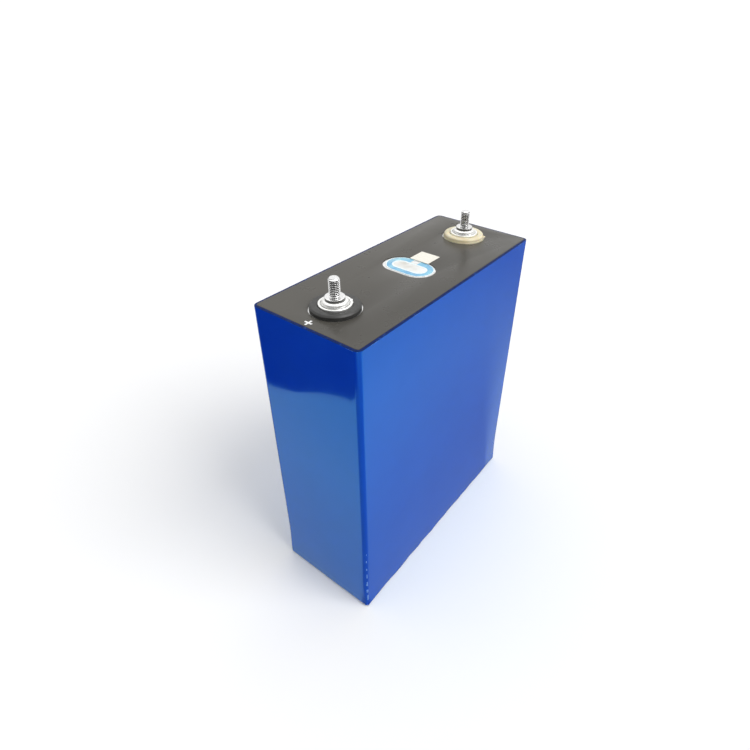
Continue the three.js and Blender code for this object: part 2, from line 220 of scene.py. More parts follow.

# Painted highlights: a paler, brighter blue laid on as dashes and flecks where the film should glint.
m = Mat("film_painted_glint", IOR=1.5, Coat_Weight=0.4, Coat_Roughness=0.08)
m.colour(two(m, 900, (0.085, 0.22, 0.58), (0.16, 0.33, 0.74), detail=3))
m.rough(m.remap(m.noise(700, detail=3), 0.25, 0.45))
m.bump(m.noise(900, detail=2), 0.02, 0.5)
MATS["film_painted_glint"] = m.m

# Dark warm-grey cover sheet: matt printed polycarbonate with a very fine grain.
m = Mat("cover_sheet", IOR=1.55, Specular_IOR_Level=0.24)
fine = m.noise(2600, detail=2)
tone = m.mix(m.remap(fine, 0.35, 0.65), two(m, 35, (0.074, 0.070, 0.060), (0.084, 0.079, 0.068)), (0.090, 0.085, 0.074))
across = m.math("ADD", m.math("MULTIPLY", m.axis("Y"), 14.0), 0.5)        # 0 to 1 over the depth of the cell
# Painted shade: the sheet is darkened towards its near (-Y) edge, up to about a quarter of the way to near-black.
m.colour(m.mix(m.math("MULTIPLY", m.math("SUBTRACT", 1.0, across), 0.24), tone, (0.012, 0.012, 0.012)))
m.rough(m.remap(m.noise(90, detail=4), 0.26, 0.34))
m.bump(fine, 0.004, 0.5)
MATS["cover_sheet"] = m.m

# Black moulded plastic.
m = Mat("black_plastic", IOR=1.5)
m.colour(two(m, 300, (0.026, 0.026, 0.025), (0.042, 0.042, 0.040), detail=4))
m.rough(m.remap(m.noise(500, detail=3), 0.34, 0.50))
m.bump(m.noise(3000, detail=2), 0.020, 0.5)
m.bump(m.noise(160, detail=2), 0.05, 0.4)
MATS["black_plastic"] = m.m

# Natural, slightly translucent moulded plastic.
m = Mat("natural_plastic", IOR=1.5, Subsurface_Weight=0.25, Subsurface_Scale=0.0015)
m.p.inputs["Subsurface Radius"].default_value = (1.0, 0.7, 0.35)
m.colour(two(m, 130, (0.70, 0.615, 0.40), (0.80, 0.735, 0.54), detail=4))
m.rough(m.remap(m.noise(400, detail=3), 0.26, 0.42))
m.bump(m.noise(1400, detail=2), 0.012, 0.4)
m.bump(m.noise(120, detail=2), 0.06, 0.4)
MATS["natural_plastic"] = m.m

# Turned bright aluminium: fine lathe rings about the piece's own axis.
m = Mat("turned_aluminium", Metallic=0.75, IOR=1.5)
lathe_rings = m.rings(2600, 0.4)
m.colour(m.mix(m.remap(m.noise(500), 0.0, 1.0), (0.90, 0.90, 0.88), (0.97, 0.97, 0.95)))
m.rough(m.remap(m.noise(900, detail=4), 0.24, 0.42))
m.bump(lathe_rings, 0.004, 0.5)
m.bump(m.noise(420, detail=3), 0.02, 0.35)
MATS["turned_aluminium"] = m.m

# Painted shade: a duller, darker grey aluminium laid in the disc groove and in the gap under the flange, where shade
# falls.
m = Mat("recess_shade", Metallic=0.5, IOR=1.5)
m.colour(m.ramp(m.noise(700, detail=4), [(0.3, (0.30, 0.30, 0.29)), (0.55, (0.46, 0.46, 0.45)), (0.75, (0.66, 0.66, 0.64))]))
m.rough(m.remap(m.noise(700, detail=3), 0.45, 0.65))
m.bump(m.noise(1500, detail=3), 0.03, 0.6)
MATS["recess_shade"] = m.m

# Painted shade held in the roots of the thread.
m = Mat("thread_root_shade", IOR=1.5, Specular_IOR_Level=0.3)
m.colour(two(m, 1200, (0.010, 0.010, 0.011), (0.032, 0.032, 0.034), detail=3))
m.rough(m.remap(m.noise(900, detail=3), 0.5, 0.7))
m.bump(m.noise(2500, detail=2), 0.008, 0.5)
MATS["thread_root_shade"] = m.m

# Bright zinc or nickel plated stud.
m = Mat("bright_stud", Metallic=1.0, IOR=1.5)
m.colour(m.mix(m.remap(m.noise(700, detail=4), 0.0, 1.0), (0.90, 0.90, 0.90), (0.98, 0.98, 0.97)))
m.rough(m.remap(m.noise(1500, detail=3), 0.16, 0.28))
m.bump(m.noise(1800, detail=3), 0.004, 0.4)
MATS["bright_stud"] = m.m

# Rolled lid aluminium, brushed along X.
m = Mat("lid_aluminium", Metallic=1.0, IOR=1.5)
grain = m.noise(260, detail=4, stretch=(0.05, 6, 6))
m.colour(m.mix(m.remap(grain, 0.0, 1.0), (0.80, 0.80, 0.79), (0.92, 0.92, 0.91)))
m.rough(m.remap(m.noise(120, detail=4, stretch=(0.1, 5, 5)), 0.22, 0.40))
m.bump(grain, 0.006, 0.5)
MATS["lid_aluminium"] = m.m

# Drawn can: vertical drawing lines and faint orange peel.
m = Mat("drawn_aluminium", Metallic=1.0, IOR=1.5)
draw = m.noise(220, detail=4, stretch=(6, 6, 0.05))
m.colour(m.mix(m.remap(draw, 0.0, 1.0), (0.72, 0.73, 0.74), (0.86, 0.87, 0.88)))
m.rough(m.remap(m.noise(80, detail=4, stretch=(4, 4, 0.2)), 0.26, 0.44))
m.bump(draw, 0.008, 0.5)
m.bump(m.noise(500, detail=2), 0.006, 0.4)
MATS["drawn_aluminium"] = m.m

# Soft burst membrane: pale, slightly dimpled foil.
m = Mat("vent_foil", Metallic=1.0, IOR=1.5)
m.colour(two(m, 180, (0.80, 0.79, 0.77), (0.93, 0.92, 0.90)))
m.rough(m.remap(m.noise(260, detail=4), 0.28, 0.48))
m.bump(m.noise(240, detail=2), 0.06, 0.5)
MATS["vent_foil"] = m.m

# Clear film window and the pale blue print on it.
m = Mat("vent_window", IOR=1.5, Alpha=0.86, Coat_Weight=0.5, Coat_Roughness=0.04)
m.colour(m.ramp(m.noise(75, detail=2), [(0.36, (0.74, 0.73, 0.67)), (0.50, (0.93, 0.94, 0.92)), (0.62, (0.985, 0.99, 0.985))]))
m.rough(m.remap(m.noise(200, detail=3), 0.10, 0.26))
m.bump(m.noise(180, detail=2), 0.05, 0.5)
MATS["vent_window"] = m.m

m = Mat("vent_print", IOR=1.5, Coat_Weight=0.6, Coat_Roughness=0.05)
m.colour(m.ramp(m.noise(150, detail=2), [(0.34, (0.10, 0.38, 0.68)), (0.56, (0.22, 0.56, 0.76)), (0.72, (0.36, 0.72, 0.80))]))
m.rough(m.remap(m.noise(300, detail=3), 0.14, 0.28))
m.bump(m.noise(200, detail=2), 0.04, 0.5)
MATS["vent_print"] = m.m

m = Mat("vent_print_pale", IOR=1.5, Coat_Weight=0.5, Coat_Roughness=0.05)
m.colour(two(m, 240, (0.78, 0.93, 0.97), (0.92, 0.98, 0.985), detail=3))
m.rough(m.remap(m.noise(300, detail=3), 0.16, 0.30))
m.bump(m.noise(260, detail=2), 0.03, 0.5)
MATS["vent_print_pale"] = m.m

# Cream paper label with fibre mottling.
m = Mat("label_paper", IOR=1.45)
fibre = m.noise(1800, detail=4, stretch=(1, 0.35, 1))
m.colour(m.mix(m.remap(fibre, 0.0, 1.0), (0.80, 0.77, 0.68), (0.90, 0.875, 0.79)))
m.rough(m.remap(m.noise(600), 0.42, 0.60))
m.bump(fibre, 0.012, 0.5)
MATS["label_paper"] = m.m

m = Mat("white_print", IOR=1.45)
m.colour(two(m, 1500, (0.78, 0.79, 0.80), (0.92, 0.92, 0.92), detail=4))
m.rough(m.remap(m.noise(900), 0.34, 0.55))
m.bump(m.noise(2600), 0.010, 0.5)
MATS["white_print"] = m.m

# Pad under the cell: dark epoxy-glass board with its weave just visible.
m = Mat("bottom_pad", IOR=1.5)
weave = m.math("MULTIPLY", m.rings(330, 0.2, "BANDS", "X"), m.rings(330, 0.2, "BANDS", "Y"))
m.colour(m.mix(weave, (0.017, 0.019, 0.023), (0.036, 0.039, 0.045)))
m.rough(m.remap(m.noise(160, detail=4), 0.40, 0.60))
m.bump(weave, 0.03, 0.5)
MATS["bottom_pad"] = m.m

# Rubber seal.
m = Mat("black_rubber", IOR=1.5)
m.colour(two(m, 800, (0.010, 0.010, 0.010), (0.026, 0.026, 0.025), detail=4))
m.rough(m.remap(m.noise(900), 0.62, 0.85))
m.bump(m.noise(2400, detail=3), 0.02, 0.6)
MATS["black_rubber"] = m.m

# White moulded polypropylene.
m = Mat("white_plastic", IOR=1.49, Subsurface_Weight=0.12, Subsurface_Scale=0.001)
m.colour(two(m, 90, (0.66, 0.67, 0.65), (0.78, 0.79, 0.77), detail=4))
m.rough(m.remap(m.noise(300), 0.36, 0.54))
m.bump(m.noise(1500, detail=2), 0.02, 0.5)
MATS["white_plastic"] = m.m

# Copper and aluminium inside.
m = Mat("copper", Metallic=1.0, IOR=1.5)
m.colour(m.ramp(m.noise(70, detail=5), [(0.25, (0.62, 0.25, 0.13)), (0.6, (0.86, 0.42, 0.26)), (0.8, (0.93, 0.54, 0.36))]))
m.rough(m.remap(m.noise(220, detail=4, stretch=(0.2, 4, 4)), 0.22, 0.44))
m.bump(m.noise(260, detail=3, stretch=(0.1, 5, 5)), 0.01, 0.5)
MATS["copper"] = m.m

m = Mat("post_aluminium", Metallic=1.0, IOR=1.5)
m.colour(two(m, 260, (0.74, 0.74, 0.74), (0.88, 0.88, 0.88), detail=4))
m.rough(m.remap(m.noise(400, detail=3), 0.22, 0.42))
m.bump(m.noise(700, detail=3), 0.012, 0.5)
MATS["post_aluminium"] = m.m


def foil(name, a, b):
    """Stacked foil leaves: fine layers across Y and Z, and creases."""
    f = Mat(name, Metallic=1.0, IOR=1.5)
    leaves = f.noise(900, detail=2, stretch=(0.02, 6, 6))
    f.colour(f.mix(f.remap(leaves, 0.0, 1.0), a, b))
    f.rough(f.remap(f.noise(140, detail=4), 0.24, 0.5))
    f.bump(leaves, 0.03, 0.6)
    f.bump(f.noise(150, detail=2), 0.12, 0.4)
    return f.m


MATS["aluminium_foil"] = foil("aluminium_foil", (0.68, 0.69, 0.70), (0.92, 0.92, 0.93))
MATS["copper_foil"] = foil("copper_foil", (0.55, 0.21, 0.11), (0.92, 0.50, 0.32))

# Wound electrodes: separator, graphite and cathode turns seen edge on along X.
m = Mat("electrode_roll", IOR=1.5)
turns = m.noise(1, detail=3, stretch=(14, 2600, 1.0))
m.colour(m.ramp(turns, [(0.3, (0.018, 0.019, 0.020)), (0.5, (0.052, 0.054, 0.057)), (0.62, (0.30, 0.30, 0.30)), (0.7, (0.06, 0.062, 0.066))]))
m.rough(m.remap(m.noise(120, detail=4), 0.55, 0.8))
m.bump(turns, 0.02, 0.5)
m.bump(m.noise(24, detail=2), 0.2, 0.3)
MATS["electrode_roll"] = m.m

m = Mat("green_tape", IOR=1.5, Coat_Weight=0.4, Coat_Roughness=0.1)
m.colour(two(m, 120, (0.016, 0.23, 0.085), (0.030, 0.31, 0.125), detail=3))
m.rough(m.remap(m.noise(200), 0.24, 0.42))
m.bump(m.noise(90, detail=2), 0.08, 0.5)
MATS["green_tape"] = m.m

m = Mat("clear_film", IOR=1.5, Alpha=0.55)
m.colour(two(m, 40, (0.62, 0.67, 0.69), (0.76, 0.80, 0.81), detail=4))
m.rough(m.remap(m.noise(90, detail=3), 0.22, 0.42))
m.bump(m.noise(60, detail=3), 0.2, 0.4)
MATS["clear_film"] = m.m


# ------------------------------------------------------------------ mesh helpers
def make(name, verts, faces, material, replaces=(), origin=(0, 0, 0), sharp=32, recalc=True,
         second=None):
    """A piece from points in metres about its origin, riding on the root body."""
    me = bpy.data.meshes.new(name)
    me.from_pydata([tuple(v) for v in verts], [], faces)
    if recalc:
        bm = bmesh.new()
        bm.from_mesh(me)
        bmesh.ops.remove_doubles(bm, verts=bm.verts, dist=1e-8)
        bmesh.ops.dissolve_degenerate(bm, edges=bm.edges, dist=1e-8)
        bmesh.ops.recalc_face_normals(bm, faces=bm.faces)
        bm.to_mesh(me)
        bm.free()
    me.validate()
    for p in me.polygons:
        p.use_smooth = True
    me.set_sharp_from_angle(angle=math.radians(sharp))
    me.update()
    ob = bpy.data.objects.new(name, me)
    bpy.context.scene.collection.objects.link(ob)
    ob.location = origin
    me.materials.append(MATS[material])
    # Further finishes: (material, test on a face centre in mm about the origin), one or several.
    for k, (extra, test) in enumerate([second] if second and isinstance(second[0], str) else (second or [])):
        me.materials.append(MATS[extra])
        for p in me.polygons:
            if test(p.center / MM):
                p.material_index = k + 1
    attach(ob, "root")
    if replaces:
        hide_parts(*replaces)
    return ob


def lathe(profile, segments=128, warp=None):
    """Profile points (r, z) in mm, closed on the axis or on itself. warp(r, z, a) gives (r, z)."""
    verts, rows = [], []
    on_axis = profile[0][0] == 0 and profile[-1][0] == 0
    for r, z in profile:
        if r == 0:
            rows.append([len(verts)])
            verts.append(Vector((0, 0, z * MM)))
            continue
        row = []
        for i in range(segments):
            a = TAU * i / segments
            rr, zz = warp(r, z, a) if warp else (r, z)
            row.append(len(verts))
            verts.append(Vector((rr * math.cos(a), rr * math.sin(a), zz)) * MM)
        rows.append(row)
    if not on_axis:
        rows.append(rows[0])
    faces = []
    for p, q in zip(rows, rows[1:]):
        for i in range(segments):
            j = (i + 1) % segments
            quad = [p[i % len(p)], p[j % len(p)], q[j % len(q)], q[i % len(q)]]
            face = list(dict.fromkeys(quad))
            if len(face) > 2:
                faces.append(face)
    return verts, faces


def arc(cx, cz, r, a0, a1, n=6, rz=None):
    """Points on an arc of a profile, degrees."""
    rz = r if rz is None else rz
    return [(cx + r * math.cos(math.radians(a0 + (a1 - a0) * k / n)),
             cz + rz * math.sin(math.radians(a0 + (a1 - a0) * k / n))) for k in range(n + 1)]


def circle_pts(cx, cy, r, n=144):
    return [(cx + r * math.cos(TAU * k / n), cy + r * math.sin(TAU * k / n)) for k in range(n)]


def obround_pts(cx, cy, length, width, n=48):
    """Long axis along Y, anticlockwise, mm."""
    r, h = width / 2, length / 2 - width / 2
    top = [(cx + r * math.cos(math.pi * k / n), cy + h + r * math.sin(math.pi * k / n)) for k in range(n + 1)]
    bottom = [(cx - r * math.cos(math.pi * k / n), cy - h - r * math.sin(math.pi * k / n)) for k in range(n + 1)]
    return top + bottom


def rounded_pts(x0, x1, y0, y1, r, n=8):
    out = []
    for cx, cy, a0 in ((x1 - r, y0 + r, -90), (x1 - r, y1 - r, 0), (x0 + r, y1 - r, 90), (x0 + r, y0 + r, 180)):
        for k in range(n + 1):
            a = math.radians(a0 + 90 * k / n)
            out.append((cx + r * math.cos(a), cy + r * math.sin(a)))
    return out


def flat_piece(name, outlines, z0, z1, bevel, material, replaces=(), warp=None, cuts=0.0):
    """A thin plate from outlines in mm (the first outside, the rest holes) with softened edges.
    warp(x, y) lifts it in mm; cuts is the spacing of extra points where it is warped."""
    cu = bpy.data.curves.new(name + "_outline", "CURVE")
    cu.dimensions = "2D"
    cu.fill_mode = "BOTH"
    half = (z1 - z0) / 2
    cu.extrude = max(half - bevel, 1e-4) * MM
    cu.bevel_depth = bevel * MM
    cu.bevel_resolution = 2
    cu.offset = -bevel * MM
    for pts in outlines:
        sp = cu.splines.new("POLY")
        sp.points.add(len(pts) - 1)
        for p, (x, y) in zip(sp.points, pts):
            p.co = (x * MM, y * MM, 0, 1)
        sp.use_cyclic_u = True
    tmp = bpy.data.objects.new(name + "_tmp", cu)
    bpy.context.scene.collection.objects.link(tmp)
    bpy.context.view_layer.update()
    me = bpy.data.meshes.new_from_object(tmp.evaluated_get(bpy.context.evaluated_depsgraph_get()))
    bpy.data.objects.remove(tmp)
    bm = bmesh.new()
    bm.from_mesh(me)
    bmesh.ops.remove_doubles(bm, verts=bm.verts, dist=2e-6)
    bmesh.ops.recalc_face_normals(bm, faces=bm.faces)
    if cuts:
        for axis in (0, 1):
            lo = min(v.co[axis] for v in bm.verts)
            hi = max(v.co[axis] for v in bm.verts)
            n = int((hi - lo) / (cuts * MM))
            for k in range(1, n):
                at = lo + (hi - lo) * k / n
                no = Vector((1, 0, 0)) if axis == 0 else Vector((0, 1, 0))
                bmesh.ops.bisect_plane(bm, geom=bm.verts[:] + bm.edges[:] + bm.faces[:],
                                       plane_co=no * at, plane_no=no, dist=1e-7)
    zc = (z0 + z1) / 2 * MM
    for v in bm.verts:
        v.co.z += zc
        if warp:
            v.co.z += warp(v.co.x / MM, v.co.y / MM) * MM
    bm.to_mesh(me)
    bm.free()
    verts = [v.co.copy() for v in me.vertices]
    faces = [list(p.vertices) for p in me.polygons]
    bpy.data.meshes.remove(me)
    return make(name, verts, faces, material, replaces)


def fbm(x, y, z, octaves=3):
    v, amp, f = 0.0, 1.0, 1.0
    for _ in range(octaves):
        v += amp * noise.noise(Vector((x * f, y * f, z * f)))
        amp *= 0.5
        f *= 2.0
    return v


# ------------------------------------------------------------------ the film sleeve
def film():
    zb, zt = FILM_LO.z / MM, TOP / MM
    r, t = CORNER, 0.2
    hx, hy = LENGTH / 2 - r, DEPTH / 2 - r
    PLEAT = 58.5                                     # where the film is pinched, degrees round the near corner
    # Outline samples: (straight x, straight y, outward nx, ny), anticlockwise from (+X, -Y).
    outline = []

    def straight(ax, ay, bx, by, nx, ny, stops):
        for s in stops:
            outline.append((ax + (bx - ax) * s, ay + (by - ay) * s, nx, ny))

    def corner(cx, cy, a0, n=14, extra=()):
        for deg in sorted([90 * k / n for k in range(n + 1)] + list(extra)):
            a = math.radians(a0 + deg)
            outline.append((cx, cy, math.cos(a), math.sin(a)))

    side = [k / 30 for k in range(1, 30)]
    end = [k / 14 for k in range(1, 14)]
    lap = sorted(side + [0.9015, 0.9035])           # edge of the lap on the rear face
    straight(hx, -hy, hx, hy, 1, 0, end)
    corner(hx, hy, 0)
    straight(hx, hy, -hx, hy, 0, 1, lap)
    corner(-hx, hy, 90)
    straight(-hx, hy, -hx, -hy, -1, 0, end)
    corner(-hx, -hy, 180, extra=[PLEAT - 4, PLEAT - 2.6, PLEAT - 1.3, PLEAT, PLEAT + 1.3, PLEAT + 2.6, PLEAT + 4])
    straight(-hx, -hy, hx, -hy, 0, -1, side)
    corner(hx, -hy, 270)

    lapped = hx - 0.9025 * 2 * hx                    # x of the lap edge
    n = len(outline)

    def proud(x, y, nx, ny, z):
        """How far the film stands off its nominal face, in mm."""
        px, py = x + r * nx, y + r * ny
        fade = min(1.0, (z - zb) / 8.0, (zt - z) / 3.0)
        fade = max(fade, 0.0)
        wave = 0.045 * fbm(px / 46, py / 40, z / 62, 2) * fade
        # Small crimps where the film goes round an upright corner.
        cornerness = abs(nx * ny) * 2
        near = math.exp(-((abs(px) - LENGTH / 2) ** 2 + (abs(py) - DEPTH / 2) ** 2) / 9.0)
        crimp = 0.0
        low = math.exp(-((z - 26) / 34) ** 2) if z > 3 else 0.0
        crimp += 0.10 * low * near * max(0.0, noise.noise(Vector((px * 0.5, py * 0.5, z / 2.6))) + 0.1)
        crimp += 0.03 * cornerness * fade * noise.noise(Vector((px, py, z / 9)))
        step = 0.0
        if ny > 0.9 and px < lapped:                  # the second layer of the lap
            step = 0.10
        elif py > 0 and px < lapped:
            step = 0.10 * max(0.0, min(1.0, ny))
        belly = 0.0
        if ny < -0.05:                                # the broad face draws in towards one upright edge
            q = max(0.0, min(1.0, (LENGTH / 2 - px) / 26.0))
            low_part = max(0.0, min(1.0, (175 - z) / 150.0))
            belly = 0.42 * low_part * (1 - (1 - q) ** 2) * fade * min(1.0, -ny) * max(0.0, min(1.0, (px + LENGTH / 2) / 30.0))
        if nx < -0.3:                                 # the narrow face swells towards the near corner, low down
            belly += 0.75 * math.exp(-((z - 4) / 36) ** 2) * min(1.0, -nx) * max(0.0, min(1.0, (34 - py) / 40)) * min(1.0, 0.6 + (z - zb) / 2)
        if ny < -0.9 and z < 9:                       # the fold under the broad face is rippled
            belly += 0.55 * max(0.0, 0.35 + 1.3 * noise.noise(Vector((px / 8.5, 3.3, 0)))) * min(1.0, 0.5 + (z - zb)) * (1 - z / 9)
        if nx < 0 and ny < 0 and 4 < z < 66:          # pinched pleats low down the near corner
            deg = math.degrees(math.atan2(-ny, -nx))
            dash = max(0.0, math.sin(z * TAU / 6.1 + 1.5 * noise.noise(Vector((0, 0, z / 9)))) - 0.25) * min(1.0, (66 - z) / 20, (z - 3) / 4)
            crimp += 0.26 * dash * math.exp(-((deg - PLEAT) / 1.7) ** 2)
        return max(-0.04, wave + crimp) + belly + step * (1.0 if 1.0 < z - zb else 0.4)

    def radius(z):
        """The wrap turns sharper where it folds under."""
        k = max(0.0, min(1.0, (z - 2.0) / 26.0))
        return 1.3 + (r - 1.3) * (k * k * (3 - 2 * k))

    # Rows of (inset, z, share of the stand-off) outside, then inside.
    outside = [(1.2, zb, 0), (0.5, zb, 0)] + [(0.5 - 0.5 * math.sin(math.radians(a)), zb + 0.5 - 0.5 * math.cos(math.radians(a)), 1)
                                              for a in (22, 45, 68)]
    rise = [zb + 0.5 + 1.0 * k for k in range(0, 90)]
    rise += [rise[-1] + 3.0 * k for k in range(1, 38)]
    top_z = zt - 0.95
    rise = [z for z in rise if z < top_z - 0.4]
    outside += [(0, z, 1) for z in rise]
    outside += [(0, top_z, 1)]
    outside += [(0, zt - 0.62, 0.3)]
    outside += [(0.36 - 0.36 * math.cos(math.radians(a)), zt - 0.52 + 0.36 * math.sin(math.radians(a)), 0.0)
                for a in (0, 15, 30, 45, 60, 78)]
    outside += [(0.85, zt - 0.15, 0), (1.1, zt - 0.135, 0), (1.43, zt - 0.15, 0), (1.45, zt - 0.19, 0)]
    inside = [(1.45, zt - 0.29, 0), (1.3, zt - 0.33, 0), (0.85, zt - 0.35, 0), (0.50, zt - 0.40, 0), (t + 0.05, zt - 0.62, 0), (t, zt - 1.1, 0.4)]
    inside += [(t, z, 1) for z in reversed(rise[::3])]
    inside += [(t + 0.1, zb + 0.28, 0), (0.6, zb + t, 0), (1.2, zb + t, 0)]

    verts, rows = [], []
    for d, z, share in outside + inside:
        row = []
        for x, y, nx, ny in outline:
            s = proud(x, y, nx, ny, z) * share if share else 0.0
            if d >= t and share:
                s = max(s, -0.03)
            rr = r - d + s
            if abs(nx) > 1e-6 and abs(ny) > 1e-6 or d < 0.45:
                tight = r - radius(z)
                rr -= tight
                cx = x + math.copysign(tight, x) * (abs(abs(x) - hx) < 1e-6)
                cy = y + math.copysign(tight, y) * (abs(abs(y) - hy) < 1e-6)
            else:
                cx, cy = x, y
            wob = 0.0
            if d > 1.0 and z > zt - 1:               # the cut lip is a little uneven
                wob = 0.03 * noise.noise(Vector((x / 9, y / 9, nx)))
            row.append(len(verts))
            verts.append(Vector((cx + (rr + wob) * nx, cy + (rr + wob) * ny, z)) * MM)
        rows.append(row)
    faces = []
    for p, q in zip(rows, rows[1:]):
        for i in range(n):
            j = (i + 1) % n
            faces.append([p[i], p[j], q[j], q[i]])
    # Floor of the sleeve: a ring of folded film is enough, closed across above and below.
    faces.append(list(reversed(rows[0])))
    faces.append(list(rows[-1]))

    def glint_marks(c):
        """Painted highlights: dashes down the near corner, and flecks along the upper fold."""
        low_corner = c.x < -LENGTH / 2 + 1.25 and c.y < -DEPTH / 2 + 0.75 and c.x > -LENGTH / 2 + 0.12
        if low_corner and 5 < c.z < 62:
            return math.sin(c.z * TAU / 7.5 + 1.5 * noise.noise(Vector((0, 1.7, c.z / 9)))) > 0.05 + max(0.0, (c.z - 30) / 30)
        if zt - 0.74 < c.z < zt - 0.50:
            return noise.noise(Vector((c.x / 2.4, c.y / 2.4, 5.1))) > 0.34
        return False

    # The turned-in lip takes a darkened finish as painted shade, and the marked dashes and flecks take a paler blue as
    # painted highlights.
    return make("film_sleeve", verts, faces, "blue_film", ("blue_film_wrap",), sharp=50,
                second=[("film_fold_shaded", lambda c: c.z > zt - 0.46), ("film_painted_glint", glint_marks)])


film()


# ------------------------------------------------------------------ cover sheet
HOLE_R = 14.05
sx0, sx1, sy0, sy1 = SHEET_LO.x / MM, SHEET_HI.x / MM, SHEET_LO.y / MM, SHEET_HI.y / MM
Z_TOP = TOP / MM
VX, VY = 0.8, 0.0


def sheet_lift(x, y):
    return 0.03 * fbm(x / 38, y / 30, 3.1, 2) * min(1.0, (x - sx0) / 3, (sx1 - x) / 3, (y - sy0) / 3, (sy1 - y) / 3)


flat_piece(
    "cover_sheet",
    [rounded_pts(sx0, sx1, sy0, sy1, CORNER - 1.5, 12),
     circle_pts(POS.x / MM, POS.y / MM, HOLE_R), circle_pts(NEG.x / MM, NEG.y / MM, HOLE_R),
     obround_pts(VX, VY, 34.0, 21.2)],
    SHEET_LO.z / MM, Z_TOP, 0.06, "cover_sheet", ("top_cover_sheet",), warp=None)

pad_lo, pad_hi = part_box("bottom_pad")
flat_piece("bottom_board", [rounded_pts(pad_lo.x / MM, pad_hi.x / MM, pad_lo.y / MM, pad_hi.y / MM, CORNER - 1.0, 12)],
           pad_lo.z / MM, pad_hi.z / MM, 0.08, "bottom_pad", ("bottom_pad",))


# ------------------------------------------------------------------ vent, label, mark
vf_lo, vf_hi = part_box("vent_protective_film")
vz0, vz1 = vf_lo.z / MM, vf_hi.z / MM
vcx, vcy = (vf_lo.x + vf_hi.x) / 2 / MM, (vf_lo.y + vf_hi.y) / 2 / MM
VL, VW = (vf_hi.y - vf_lo.y) / MM, (vf_hi.x - vf_lo.x) / MM

flat_piece("vent_window_film", [obround_pts(vcx, vcy, VL, VW)], vz0, vz1 - 0.07, 0.02, "vent_window",
           ("vent_protective_film",))


def c_band(outer, inner, gap_lo, gap_hi, xmin):
    """A closed outline of a band between two obrounds, open on its +X side between two y values."""
    def cut(pts):
        # Start just above the gap and go anticlockwise to just below it.
        keep = [p for p in pts if not (p[0] > xmin and gap_lo < p[1] < gap_hi)]
        k = max(range(len(keep)), key=lambda i: math.dist(keep[i], keep[i - 1]))
        return keep[k:] + keep[:k]
    o, i = cut(outer), cut(inner)
    return o + list(reversed(i))


def dense(pts, step=0.4):
    out = []
    for a, b in zip(pts, pts[1:] + pts[:1]):
        k = max(1, int(math.dist(a, b) / step))
        out += [(a[0] + (b[0] - a[0]) * j / k, a[1] + (b[1] - a[1]) * j / k) for j in range(k)]
    return out


ring_out = dense(obround_pts(vcx + 0.1, vcy, VL - 1.4, VW - 1.4))
ring_in = dense(obround_pts(vcx - 0.3, vcy, 23.6, 10.6))
flat_piece("vent_printed_ring", [c_band(ring_out, ring_in, -1.3, 2.9, vcx + 3)], vz1 - 0.065, vz1 - 0.01, 0.015,
           "vent_print")
line_out = dense(obround_pts(vcx - 0.3, vcy, 23.4, 10.4))
line_in = dense(obround_pts(vcx - 0.3, vcy, 21.2, 8.2))
flat_piece("vent_window_line", [line_out, line_in], vz1 - 0.065, vz1 - 0.02, 0.012,
           "vent_print_pale")
edge_out = dense(obround_pts(vcx, vcy, VL - 0.1, VW - 0.1))
edge_in = dense(obround_pts(vcx + 0.1, vcy, VL - 1.3, VW - 1.3))
flat_piece("vent_film_rim", [edge_out, edge_in], vz1 - 0.065, vz1 - 0.015, 0.012, "vent_print_pale")

# Burst disc: rim, thinned membrane and a scored oval line.
bd_lo, bd_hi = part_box("vent_burst_disc")
bz0, bz1 = bd_lo.z / MM, bd_hi.z / MM
bl, bw = (bd_hi.y - bd_lo.y) / MM, (bd_hi.x - bd_lo.x) / MM
bx, by = (bd_lo.x + bd_hi.x) / 2 / MM, (bd_lo.y + bd_hi.y) / 2 / MM


def burst():
    n = 40
    rings = [(0.0, bz0), (0.0, bz1 - 0.05), (0.05, bz1), (1.35, bz1), (1.5, bz1 - 0.05), (1.62, bz0 + 0.24), (2.4, bz0 + 0.17),
             (2.7, bz0 + 0.15), (2.82, bz0 + 0.10), (2.94, bz0 + 0.15), (3.4, bz0 + 0.18), (4.2, bz0 + 0.20), (5.0, bz0 + 0.21)]
    verts, rows = [], []
    for d, z in rings:
        row = []
        for x, y in obround_pts(bx, by, bl - 2 * d, bw - 2 * d, n):
            zz = z + (0.03 * fbm(x / 3, y / 3, 1.7) if d > 2 else 0)
            row.append(len(verts))
            verts.append(Vector((x, y, zz)) * MM)
        rows.append(row)
    faces = []
    k = len(rows[0])
    for p, q in zip(rows, rows[1:]):
        for i in range(k):
            j = (i + 1) % k
            faces.append([p[i], p[j], q[j], q[i]])
    faces.append(list(reversed(rows[0])))
    faces.append(list(rows[-1]))
    make("burst_disc", verts, faces, "vent_foil", ("vent_burst_disc",), sharp=40)


burst()

lb_lo, lb_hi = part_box("data_label")
flat_piece("paper_label", [rounded_pts(lb_lo.x / MM, lb_hi.x / MM, lb_lo.y / MM, lb_hi.y / MM, 0.35, 5)],
           lb_lo.z / MM, lb_hi.z / MM, 0.02, "label_paper", ("data_label",))

pm_lo, pm_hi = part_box("polarity_mark_plus")
pcx, pcy = (pm_lo.x + pm_hi.x) / 2 / MM, (pm_lo.y + pm_hi.y) / 2 / MM
pa = (pm_hi.x - pm_lo.x) / 2 / MM


def plus_pts(a, t, waist=0.0):
    """A printed cross whose arms flare slightly, with softened inner corners."""
    quarter = [(a, -t * 1.15), (a, t * 1.15), (a * 0.55, t * 0.9), (t * 1.05, t * 1.05), (t * 0.9, a * 0.55)]
    out = []
    for k in range(4):
        c, s = math.cos(math.pi / 2 * k), math.sin(math.pi / 2 * k)
        out += [(pcx + x * c - y * s, pcy + x * s + y * c) for x, y in quarter]
    return out


flat_piece("printed_plus", [plus_pts(pa, 0.55)], pm_lo.z / MM, pm_hi.z / MM, 0.015, "white_print",
           ("polarity_mark_plus",))


